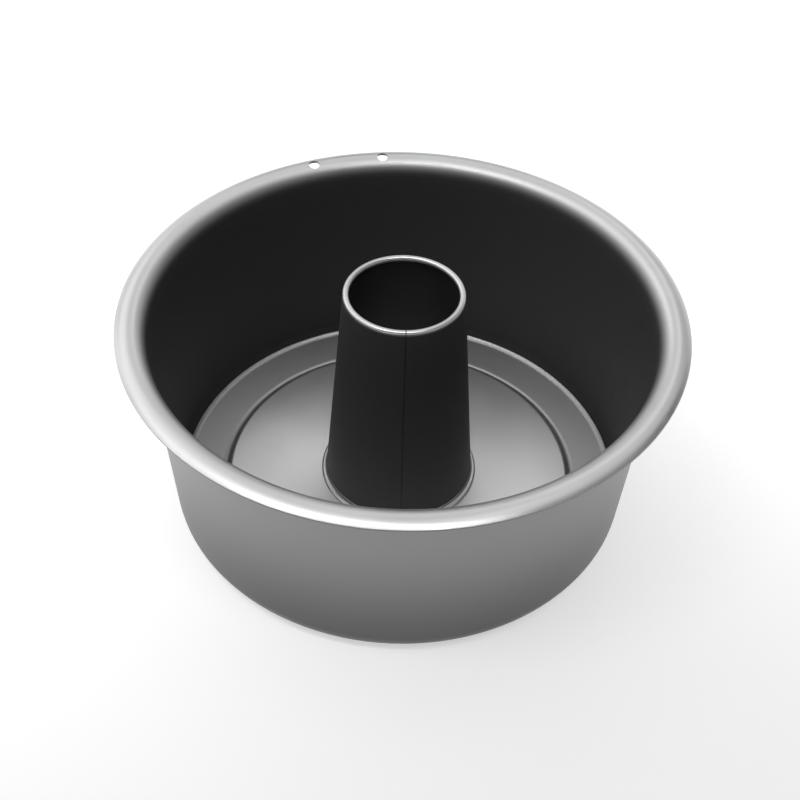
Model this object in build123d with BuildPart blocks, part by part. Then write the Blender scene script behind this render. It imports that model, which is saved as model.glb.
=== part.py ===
from build123d import *
from math import acos, atan2, cos, degrees, hypot, radians, sin, tan
import os

# Angel food cake pan in two loose parts: a drawn outer pan with a rolled rim, and a lift-out
# insert made of a stepped base plate and a seamed, tapered centre tube.
# Millimetres and degrees. +Z is up, the origin is the centre of the face the pan stands on,
# and +Y points to the middle of the two hanging holes in the rim.

# Outer pan
rim_diameter = 254.0   # over the rounded lip
pan_height = 106.0
pan_sheet = 1.2
wall_draft = 4.1
rim_roll_radius = 8.4
rim_roll_drop = 43.0
corner_radius = 10.2
ledge_width = 14.5   # flat part, from the bottom corner to the opening

# Hanging holes in the rim
hanging_hole_diameter = 5.5
hanging_hole_spacing = 35.0
hanging_hole_inset = 6.8

# Base plate of the insert
plate_sheet = 1.0
floor_height = 5.1
step_run = 2.0
step_edge_bend = 1.7
seat_setback = 1.2   # from the edge of the opening out to the plate's seat on the ledge
seat_width = 1.3
seat_bend = 1.1
seat_clearance = 0.2
shoulder_run = 1.1   # from the seat out to the shoulder where the band starts
shoulder_rise = 0.5
shoulder_bend = 3.0
upturn_length = 1.8
upturn_radius = 4.0
upturn_slope = 38.0
upturn_angle = 28.0   # where the edge lies round the corner, below its centre
upturn_clearance = 0.5

# Centre tube of the insert
tube_sheet = 0.8
tube_foot_diameter = 70.9
tube_top_diameter = 54.4
tube_rise = 10.0
lip_radius = 1.4
lip_wrap_angle = 235.0
foot_bend = 0.3   # outer bends of the sheet where it passes through the plate
flange_width = 4.5
bead_width = 2.2
bead_slit = 0.2   # left between the bead's two layers
bead_flat = 0.05   # upright part of the bead's nose
crimp_clearance = 0.05

# Seam of the rolled tube sheet
seam_width = 0.35
seam_depth = 0.3
seam_angle = -102.0

# Shared
edge_round_share = 0.4
overrun = 3.0

os.makedirs("parts", exist_ok=True)

# Rim roll: one arc whose highest point is the top of the pan and whose rounded lip ends at the rim
# diameter
lip_round = edge_round_share * pan_sheet
lip_reach = sin(radians(rim_roll_drop)) * (rim_roll_radius**2 - 2 * rim_roll_radius * lip_round) ** 0.5
rim_centre_radius = rim_diameter / 2 - lip_reach - lip_round * (1 - cos(radians(rim_roll_drop)))
rim_centre_height = pan_height - rim_roll_radius


def wall_radius(height, inset):
    """Radius of a point that lies inset from the wall's inner face, measured square to it."""
    fall = (rim_centre_height - height) * tan(radians(wall_draft))
    return rim_centre_radius - fall - (rim_roll_radius + inset) / cos(radians(wall_draft))


# Bottom corner: the wall turns in to the ledge that carries the insert
inner_corner_radius = corner_radius - pan_sheet
corner_centre_radius = wall_radius(corner_radius, inner_corner_radius)
opening_radius = corner_centre_radius - ledge_width

with BuildPart() as outer_pan:
    with BuildSketch(Plane.XZ) as pan_section:
        with BuildLine():
            Line((opening_radius, pan_sheet), (corner_centre_radius, pan_sheet))
            corner = CenterArc(
                (corner_centre_radius, corner_radius), inner_corner_radius, -90, 90 - wall_draft
            )
            roll = CenterArc(
                (rim_centre_radius, rim_centre_height),
                rim_roll_radius,
                180 - wall_draft,
                wall_draft - 90 - rim_roll_drop,
            )
            Line(corner @ 1, roll @ 0)
            offset(amount=pan_sheet, side=Side.RIGHT)
        make_face()
        # Both cut edges of the sheet are rounded off: the lip of the rim and the edge of the opening
        ends = pan_section.vertices().sort_by(Axis.X)
        fillet(ends[:2] + ends[-2:], lip_round)
    revolve(axis=Axis.Z)
    # Two hanging holes, punched straight down through the rim roll
    hole_circle_radius = rim_diameter / 2 - hanging_hole_inset
    hole_reach = (hole_circle_radius**2 - (hanging_hole_spacing / 2) ** 2) ** 0.5
    with BuildSketch(Plane.XY.offset(pan_height + overrun)):
        with Locations((0, hole_reach)):
            with GridLocations(hanging_hole_spacing, 0, 2, 1):
                Circle(hanging_hole_diameter / 2)
    extrude(amount=-(overrun + rim_roll_radius), mode=Mode.SUBTRACT)

outer_pan.part.label = "outer_pan"
export_step(outer_pan.part, "parts/outer_pan.step")

# The plate steps down to a narrow seat on the ledge, just outside the opening, and rises again to
# the shoulder of its sloping outer band
seat_height = pan_sheet + seat_clearance + plate_sheet
seat_inner_radius = opening_radius + seat_setback
seat_outer_radius = seat_inner_radius + seat_width
step_edge_radius = seat_inner_radius - step_run
foot_radius = tube_foot_diameter / 2

# The plate's turned-up edge lies in the pan's bottom corner
upturn_reach = inner_corner_radius - upturn_clearance - plate_sheet
edge_point = (
    corner_centre_radius + upturn_reach * cos(radians(upturn_angle)),
    corner_radius - upturn_reach * sin(radians(upturn_angle)),
)
upturn_run = cos(radians(upturn_slope))
upturn_lift = sin(radians(upturn_slope))
upturn_root = (
    edge_point[0] - upturn_length * upturn_run,
    edge_point[1] - upturn_length * upturn_lift,
)
edge_cut_middle = (
    edge_point[0] + plate_sheet / 2 * upturn_lift,
    edge_point[1] - plate_sheet / 2 * upturn_run,
)

with BuildPart() as base_plate:
    with BuildSketch(Plane.XZ) as plate_section:
        with BuildLine():
            FilletPolyline(
                (foot_radius + crimp_clearance, floor_height),
                (step_edge_radius, floor_height),
                (seat_inner_radius, seat_height),
                (seat_outer_radius, seat_height),
                (seat_outer_radius + shoulder_run, seat_height + shoulder_rise),
                upturn_root,
                edge_point,
                radius=[step_edge_bend, seat_bend, seat_bend, shoulder_bend, upturn_radius],
            )
            offset(amount=plate_sheet, side=Side.RIGHT)
        make_face()
        # Both cut edges of the sheet are rounded off: the hole for the tube and the turned-up edge
        hole_cut = plate_section.edges().sort_by(Axis.X)[0]
        edge_cut = plate_section.edges().sort_by_distance(edge_cut_middle)[0]
        fillet(hole_cut.vertices() + edge_cut.vertices(), edge_round_share * plate_sheet)
    revolve(axis=Axis.Z)

base_plate.part.label = "base_plate"
export_step(base_plate.part, "parts/base_plate.step")

# The plate is clamped between a swaged flange under it and a flattened bead on top of it
flange_top = floor_height - plate_sheet - crimp_clearance
bead_foot = floor_height + crimp_clearance
bead_nose_radius = tube_sheet + bead_slit / 2
bead_top = bead_foot + 2 * bead_nose_radius + bead_flat
bead_root_radius = tube_sheet   # as tight a bend as the sheet allows

# The tube's sides run from the bead up to its inward-rolled lip, tangent to the roll
tube_top = pan_height + tube_rise
lip_centre = (tube_top_diameter / 2 - lip_radius, tube_top - lip_radius)
side_run = foot_radius - lip_centre[0]
side_rise = lip_centre[1] - bead_top
lip_start = degrees(acos(lip_radius / hypot(side_run, side_rise)) - atan2(side_rise, side_run))

with BuildPart() as centre_tube:
    with BuildSketch(Plane.XZ):
        with BuildLine():
            lip = CenterArc(lip_centre, lip_radius, lip_start, lip_wrap_angle)
            FilletPolyline(
                (foot_radius + flange_width, flange_top),
                (foot_radius, flange_top),
                (foot_radius, bead_foot),
                (foot_radius + bead_width, bead_foot),
                (foot_radius + bead_width, bead_top),
                (foot_radius, bead_top),
                lip @ 0,
                radius=[foot_bend, foot_bend, bead_nose_radius, bead_nose_radius, bead_root_radius],
            )
            offset(amount=tube_sheet, side=Side.LEFT)
        make_face()
    revolve(axis=Axis.Z)
    # The seam is a fine groove down the side and a split through the rolled lip
    seam_out = (cos(radians(seam_angle)), sin(radians(seam_angle)), 0)
    seam_plane = Plane(
        origin=(0, 0, 0),
        x_dir=seam_out,
        z_dir=(seam_out[1], -seam_out[0], 0),
    )
    with BuildSketch(seam_plane):
        with BuildLine():
            Polyline(
                (foot_radius - seam_depth, bead_top),
                (lip.start_point().X - seam_depth, lip_centre[1] - lip_radius),
                (lip_centre[0] - lip_radius - overrun, lip_centre[1] - lip_radius),
                (lip_centre[0] - lip_radius - overrun, tube_top + overrun),
                (foot_radius + overrun, tube_top + overrun),
                (foot_radius + overrun, bead_top),
                close=True,
            )
        make_face()
    extrude(amount=seam_width / 2, both=True, mode=Mode.SUBTRACT)

centre_tube.part.label = "centre_tube"
export_step(centre_tube.part, "parts/centre_tube.step")
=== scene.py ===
from math import pi, radians

import bpy
from mathutils import Matrix, Vector


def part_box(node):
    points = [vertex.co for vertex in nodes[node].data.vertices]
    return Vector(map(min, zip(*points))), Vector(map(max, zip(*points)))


# Looks of the angel food cake pan: satin aluminium, with a dark release coat on the inner wall and
# on the tube. Metres, in the CAD frame: +Z is up and +Y points to the hanging holes in the rim.

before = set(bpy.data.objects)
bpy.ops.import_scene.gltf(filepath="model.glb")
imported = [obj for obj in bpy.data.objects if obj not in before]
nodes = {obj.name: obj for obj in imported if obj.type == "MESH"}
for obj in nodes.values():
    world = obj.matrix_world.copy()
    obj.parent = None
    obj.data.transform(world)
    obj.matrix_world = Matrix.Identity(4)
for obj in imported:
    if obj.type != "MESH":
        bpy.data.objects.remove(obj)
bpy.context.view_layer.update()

# Camera, angles in degrees
view_azimuth = -14.75      # 0 looks along +Y
view_elevation = 40.27
view_distance = 0.616      # from the point that the camera is aimed at
view_height = 0.1038       # of that point, on the axis, before the camera is panned and tilted
view_pan = 0.0318          # to the left, before the tilt
view_tilt = -3.575
view_roll = -1.895
lens = 62.36               # millimetres
sensor_width = 36.0        # millimetres
near_clip = 0.05
far_clip = 50.0

# Outer pan: where the release coat ends, and where painted shade lies on the flank and on the lip's
# edge
coat_fade_start = 0.1124   # radius on the rim roll where the coat starts to thin out
coat_fade_end = 0.1185
coat_facing_low = 0.30     # how far a face looks up and inwards, as a cosine, before it is coated
coat_facing_high = 0.55
diagonal = 0.7071          # cosine of 45 degrees
flank_full = 0.15          # upward part of the normal below which a face counts as flank
flank_none = 0.60
bottom_shade_low = 0.000      # heights between which the painted shade at the bottom of the outer wall fades from dark to light grey
bottom_shade_high = 0.085
lip_shade_start = 0.1243    # radius where the flank turns to painted shade on the edge of the lip
lip_shade_end = 0.1253

# Base plate
band_fade_start = 0.0812   # radius where the plate's darker outer band of painted shade starts
band_fade_end = 0.0836

# Centre tube: heights where its coat ends
tube_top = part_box("centre_tube")[1].z
lip_fade_start = tube_top - 0.0024
lip_fade_end = tube_top - 0.0008
foot_bead_top = 0.0085
foot_fade = 0.0004
bore_facing_high = 0.1     # outward part of the normal, from the outside of the tube to its bore
bore_facing_low = -0.3

# Colours, linear. The greys are fitted to the photo's light and are no measured finish.
silver = (0.76, 0.76, 0.765)
plate_silver = (0.92, 0.92, 0.925)
# painted shade: the plate's outer band, darker than the disc of the same sheet
band_shade_silver = (0.48, 0.48, 0.485)
flank_shade_grey = (0.285, 0.285, 0.29)      # painted shade: the outer wall near the rim, darker than the bare silver of the same metal
deep_shade_grey = (0.115, 0.115, 0.118)       # painted shade: the outer wall at the bottom corner, and the edge of the lip
charcoal = (0.050, 0.050, 0.0505)
tube_charcoal = (0.060, 0.060, 0.0605)
# painted shade: the tube's bore, darker than the same coat outside
bore_shade_black = (0.034, 0.034, 0.0345)

# Finishes
silver_roughness = 0.35
wall_roughness = 0.40
plate_roughness = 0.52
plate_anisotropy = 0.55
tube_polish = 0.04         # the bare parts of the tube are this much smoother than the pan
coat_gloss = 0.32
coat_roughness = 0.55
coat_metallic = 0.15
line_height = 0.00001
pan_line_strength = 0.15
plate_line_strength = 0.35

# Turned lines, patches and grain
line_scale = 900.0         # noise cells per metre, across the lines
line_turn = 0.9            # noise cells per radian, along them
line_detail = 4.0
line_contrast = 0.62
line_low = 0.25            # noise levels between which lines and patches change
line_high = 0.75
patch_scale = 22.0
patch_contrast = 0.55
patch_low = 0.3
patch_high = 0.7
patch_rough_high = 0.72
patch_dark = 0.965
patch_light = 1.02
patch_smoother = -0.02
patch_rougher = 0.035
line_smoother = -0.02
line_rougher = 0.03
grain_scale = 900.0
grain_contrast = 0.6
grain_dark = 0.9
grain_light = 1.12
noise_detail = 3.0

# Floor
floor_size = 12.0
floor_drop = 0.0003        # below the pan's standing face
floor_roughness = 0.9
floor_gloss = 0.1
floor_white = (0.90, 0.90, 0.90)
floor_shown = (0.66, 0.66, 0.66)       # as seen and mirrored, with the glow on top
floor_glow = 0.40
back_floor_glow = 0.72     # the floor glows more behind than in front of the pan
glow_front = -0.28         # +Y places between which the glow grows
glow_back = 0.10
near_floor = 0.8           # radii between which the floor turns as pale as the horizon
far_floor = 2.6
far_floor_shown = (0.15, 0.15, 0.15)
far_floor_glow = 0.82

# World
world_light = 0.05         # what it gives to matt surfaces
horizon_level = 0.88       # as seen and mirrored, at the horizon and high above it
high_level = 0.07
horizon_bottom = 0.02      # heights of the view direction, as sines, between which it fades
horizon_top = 0.36

# Lamps
lamp_distance = 3.0
lamp_aim_height = 0.05


class Graph:
    """A node tree, with one call per kind of node that this scene uses."""

    def __init__(self, tree):
        self.tree = tree

    def put(self, socket, value):
        if isinstance(value, bpy.types.NodeSocket):
            self.tree.links.new(value, socket)
        elif isinstance(value, tuple) and len(value) == 3 and socket.type == "RGBA":
            socket.default_value = (*value, 1.0)
        else:
            socket.default_value = value

    def math(self, operation, a, b):
        n = self.tree.nodes.new("ShaderNodeMath")
        n.operation = operation
        self.put(n.inputs[0], a)
        self.put(n.inputs[1], b)
        return n.outputs[0]

    def vector(self, operation, a, b=(0.0, 0.0, 0.0)):
        n = self.tree.nodes.new("ShaderNodeVectorMath")
        n.operation = operation
        self.put(n.inputs[0], a)
        self.put(n.inputs[1], b)
        return n.outputs["Value"] if operation in ("LENGTH", "DOT_PRODUCT") else n.outputs["Vector"]

    def combine(self, x, y, z):
        n = self.tree.nodes.new("ShaderNodeCombineXYZ")
        for socket, value in zip(n.inputs, (x, y, z)):
            self.put(socket, value)
        return n.outputs[0]

    def separate(self, value):
        n = self.tree.nodes.new("ShaderNodeSeparateXYZ")
        self.put(n.inputs[0], value)
        return n.outputs

    def smooth(self, value, low, high, to_low=0.0, to_high=1.0):
        n = self.tree.nodes.new("ShaderNodeMapRange")
        n.interpolation_type = "SMOOTHSTEP"
        for socket, v in zip(n.inputs, (value, low, high, to_low, to_high)):
            self.put(socket, v)
        return n.outputs[0]

    def noise(self, vector, scale, detail, roughness):
        n = self.tree.nodes.new("ShaderNodeTexNoise")
        self.put(n.inputs["Vector"], vector)
        n.inputs["Scale"].default_value = scale
        n.inputs["Detail"].default_value = detail
        n.inputs["Roughness"].default_value = roughness
        return n.outputs["Fac"]

    def mix_colour(self, factor, a, b):
        n = self.tree.nodes.new("ShaderNodeMix")
        n.data_type = "RGBA"
        self.put(n.inputs["Factor"], factor)
        self.put(n.inputs[6], a)
        self.put(n.inputs[7], b)
        return n.outputs[2]

    def mix(self, factor, a, b):
        n = self.tree.nodes.new("ShaderNodeMix")
        n.data_type = "FLOAT"
        self.put(n.inputs["Factor"], factor)
        self.put(n.inputs[2], a)
        self.put(n.inputs[3], b)
        return n.outputs[0]

    def seen(self):
        """1 for camera, mirrored and transmitted rays, 0 for the light on matt surfaces."""
        rays = self.tree.nodes.new("ShaderNodeLightPath").outputs
        mirrored = self.math("MAXIMUM", rays["Is Camera Ray"], rays["Is Glossy Ray"])
        return self.math("MAXIMUM", mirrored, rays["Is Transmission Ray"])


class Surface(Graph):
    """A material, with places on the object and round its axis."""

    def __init__(self, name):
        self.material = bpy.data.materials.new(name)
        self.material.use_nodes = True
        super().__init__(self.material.node_tree)
        self.shader = self.tree.nodes["Principled BSDF"]
        coordinates = self.tree.nodes.new("ShaderNodeTexCoord")
        self.position = coordinates.outputs["Object"]
        self.normal = coordinates.outputs["Normal"]
        self.x, self.y, self.z = self.separate(self.position)
        flat = self.vector("MULTIPLY", self.position, (1.0, 1.0, 0.0))
        self.radius = self.vector("LENGTH", flat)
        self.radial = self.vector("NORMALIZE", flat)

    def set(self, name, value):
        self.put(self.shader.inputs[name], value)

    def bump(self, height, strength):
        n = self.tree.nodes.new("ShaderNodeBump")
        n.inputs["Distance"].default_value = line_height
        n.inputs["Strength"].default_value = strength
        self.put(n.inputs["Height"], height)
        return n.outputs[0]

    def finish(self, obj):
        obj.data.materials.clear()
        obj.data.materials.append(self.material)


def tinted(colour, factor):
    return tuple(min(1.0, c * factor) for c in colour)


def turned_metal(surface, base, roughness):
    """Spun sheet: fine lines round the axis and a soft uneven polish."""
    rings = surface.combine(
        surface.math("MULTIPLY", surface.radius, line_scale),
        surface.math("MULTIPLY", surface.z, line_scale),
        surface.math("MULTIPLY", surface.math("ARCTAN2", surface.y, surface.x), line_turn),
    )
    lines = surface.noise(rings, 1.0, line_detail, line_contrast)
    patches = surface.noise(surface.position, patch_scale, noise_detail, patch_contrast)
    colour = surface.mix_colour(
        surface.smooth(patches, patch_low, patch_high),
        tinted(base, patch_dark),
        tinted(base, patch_light),
    )
    rough = surface.math(
        "ADD",
        surface.smooth(
            patches,
            patch_low,
            patch_rough_high,
            roughness + patch_smoother,
            roughness + patch_rougher,
        ),
        surface.smooth(lines, line_low, line_high, line_smoother, line_rougher),
    )
    return colour, rough, lines


def release_coat(surface, base):
    """The coat's colour, with a fine grain."""
    grain = surface.noise(surface.position, grain_scale, noise_detail, grain_contrast)
    return surface.mix_colour(grain, tinted(base, grain_dark), tinted(base, grain_light))


# Outer pan: bare rim, coated inside, and a rougher flank (the outer wall, the underside of the rim
# and the edge of its lip) with painted shade, darkest at the bottom corner and on the lip's edge

pan = Surface("pan_metal")
colour, rough, lines = turned_metal(pan, silver, silver_roughness)
inward = pan.vector("DOT_PRODUCT", pan.normal, pan.radial)
up = pan.separate(pan.normal)[2]
facing = pan.math("MULTIPLY", pan.math("SUBTRACT", up, inward), diagonal)
inner_side = pan.smooth(facing, coat_facing_low, coat_facing_high)
thinned = pan.smooth(pan.radius, coat_fade_start, coat_fade_end, 1.0, 0.0)
coat = pan.math("MULTIPLY", inner_side, thinned)
flank = pan.smooth(up, flank_full, flank_none, 1.0, 0.0)
# painted shade: the outer wall darkens towards its bottom corner
bottom_shade_fade = pan.smooth(pan.z, bottom_shade_low, bottom_shade_high)
# painted shade: the flank darkens on the outer edge of the lip
lip_shade = pan.smooth(pan.radius, lip_shade_start, lip_shade_end)
flank_shade_colour = pan.mix_colour(bottom_shade_fade, deep_shade_grey, flank_shade_grey)
flank_shade_colour = pan.mix_colour(lip_shade, flank_shade_colour, deep_shade_grey)
# painted shade: faces that look sideways or down take the darker flank grey instead of the rim's
# silver
colour = pan.mix_colour(flank, colour, flank_shade_colour)
rough = pan.mix(flank, rough, wall_roughness)
pan.set("Base Color", pan.mix_colour(coat, colour, release_coat(pan, charcoal)))
pan.set("Metallic", pan.math("SUBTRACT", 1.0, pan.math("MULTIPLY", coat, 1.0 - coat_metallic)))
pan.set("Roughness", pan.mix(coat, rough, coat_roughness))
pan.set("Normal", pan.bump(lines, pan_line_strength))
pan.set("Specular IOR Level", coat_gloss)
pan.finish(nodes["outer_pan"])

# Base plate: its shine is stretched round the axis

plate = Surface("plate_metal")
colour, rough, lines = turned_metal(plate, plate_silver, plate_roughness)
# painted shade: the outer band of the plate, around the disc, in a darker silver
band_shade = plate.smooth(plate.radius, band_fade_start, band_fade_end)
tangent = plate.tree.nodes.new("ShaderNodeTangent")
tangent.direction_type = "RADIAL"
tangent.axis = "Z"
plate.set("Base Color", plate.mix_colour(band_shade, colour, band_shade_silver))
plate.set("Metallic", 1.0)
plate.set("Roughness", rough)
plate.set("Normal", plate.bump(lines, plate_line_strength))
plate.set("Tangent", tangent.outputs[0])
plate.set("Anisotropic", plate_anisotropy)
plate.finish(nodes["base_plate"])

# Centre tube: coated, with painted shade in its bore, a bare rolled lip and a bare bead at the foot

tube = Surface("tube_metal")
colour, rough, lines = turned_metal(tube, silver, silver_roughness - tube_polish)
outward = tube.vector("DOT_PRODUCT", tube.normal, tube.radial)
# painted shade: faces that look into the bore turn darker
bore_shade = tube.smooth(outward, bore_facing_high, bore_facing_low)
coat_colour = tube.mix_colour(bore_shade, release_coat(tube, tube_charcoal), bore_shade_black)
bare = tube.math(
    "MAXIMUM",
    tube.smooth(tube.z, lip_fade_start, lip_fade_end),
    tube.smooth(tube.z, foot_bead_top + foot_fade, foot_bead_top),
)
tube.set("Base Color", tube.mix_colour(bare, coat_colour, colour))
tube.set("Metallic", tube.mix(bare, coat_metallic, 1.0))
tube.set("Roughness", tube.mix(bare, coat_roughness, rough))
tube.set("Specular IOR Level", coat_gloss)
tube.finish(nodes["centre_tube"])

# Floor: white paper

bpy.ops.mesh.primitive_plane_add(size=floor_size, location=(0, 0, -floor_drop))
floor = bpy.context.object
floor.name = "floor"
paper = Surface("paper")
seen = paper.seen()
far = paper.smooth(paper.radius, near_floor, far_floor)
shown_colour = paper.mix_colour(far, floor_shown, far_floor_shown)
behind = paper.smooth(paper.y, glow_front, glow_back)
near_glow = paper.mix(behind, floor_glow, back_floor_glow)
glow = paper.mix(far, near_glow, far_floor_glow)
paper.set("Base Color", paper.mix_colour(seen, floor_white, shown_colour))
paper.set("Emission Strength", paper.math("MULTIPLY", seen, glow))
paper.set("Roughness", floor_roughness)
paper.set("Specular IOR Level", floor_gloss)
paper.finish(floor)

# World: a pale horizon that darkens upwards, which only seen and mirrored rays meet

world = bpy.context.scene.world or bpy.data.worlds.new("world")
bpy.context.scene.world = world
world.use_nodes = True
room = Graph(world.node_tree)
background = room.tree.nodes["Background"]
background.inputs["Color"].default_value = (1.0, 1.0, 1.0, 1.0)
direction_height = room.separate(
    room.tree.nodes.new("ShaderNodeTexCoord").outputs["Generated"]
)[2]
horizon = room.smooth(
    direction_height, horizon_bottom, horizon_top, horizon_level, high_level
)
room.put(background.inputs["Strength"], room.mix(room.seen(), world_light, horizon))


def towards(azimuth, elevation):
    """Unit vector from the axis out to this side. 0 is the -Y side, and the angle is counted
    anticlockwise seen from above."""
    direction = Vector((0, -1, 0))
    direction.rotate(Matrix.Rotation(-radians(elevation), 3, "X"))
    direction.rotate(Matrix.Rotation(radians(azimuth), 3, "Z"))
    return direction


def softbox(name, azimuth, elevation, width, height, radiance):
    """A soft rectangular lamp aimed at the pan. Azimuth is counted from the camera's side, so 180
    is behind the pan and 90 is on the camera's right."""
    direction = towards(view_azimuth + azimuth, elevation)
    lamp = bpy.data.lights.new(name, "AREA")
    lamp.shape = "RECTANGLE"
    lamp.size = width
    lamp.size_y = height
    lamp.energy = radiance * width * height * pi
    obj = bpy.data.objects.new(name, lamp)
    bpy.context.scene.collection.objects.link(obj)
    obj.location = Vector((0, 0, lamp_aim_height)) + direction * lamp_distance
    obj.rotation_mode = "QUATERNION"
    obj.rotation_quaternion = direction.to_track_quat("Z", "Y")


softbox("key_softbox", -14, 71, 3.2, 0.55, 4.7)
softbox("overhead_softbox", 0, 88, 1.8, 1.6, 0.6)
softbox("back_softbox", -168, 44, 3.2, 2.2, 0.62)
softbox("back_high_softbox", 180, 72, 2.4, 1.2, 0.3)
softbox("left_softbox", -84, 55, 2.6, 2.2, 1.0)
softbox("left_low_softbox", -108, 28, 2.4, 2.0, 0.55)
softbox("back_left_softbox", -140, 30, 2.2, 2.0, 0.5)
softbox("back_right_softbox", 148, 30, 2.2, 2.0, 0.4)
softbox("right_softbox", 110, 60, 2.0, 2.0, 0.5)

# Camera

eye = towards(view_azimuth, view_elevation)
forward = -eye
right = forward.cross(Vector((0, 0, 1))).normalized()
above = right.cross(forward)
pan_turn = Matrix.Rotation(radians(view_pan), 3, above)
forward, right = pan_turn @ forward, pan_turn @ right
tilt = Matrix.Rotation(radians(view_tilt), 3, right)
forward, above = tilt @ forward, tilt @ above
roll = Matrix.Rotation(radians(view_roll), 3, forward)
right, above = roll @ right, roll @ above
camera = bpy.data.objects.new("camera", bpy.data.cameras.new("camera"))
camera.data.lens = lens
camera.data.sensor_width = sensor_width
camera.data.clip_start = near_clip
camera.data.clip_end = far_clip
camera.location = Vector((0, 0, view_height)) + eye * view_distance
camera.rotation_mode = "QUATERNION"
camera.rotation_quaternion = Matrix((right, above, -forward)).transposed().to_quaternion()
bpy.context.scene.collection.objects.link(camera)
bpy.context.scene.camera = camera

bpy.context.scene.view_settings.view_transform = "Standard"
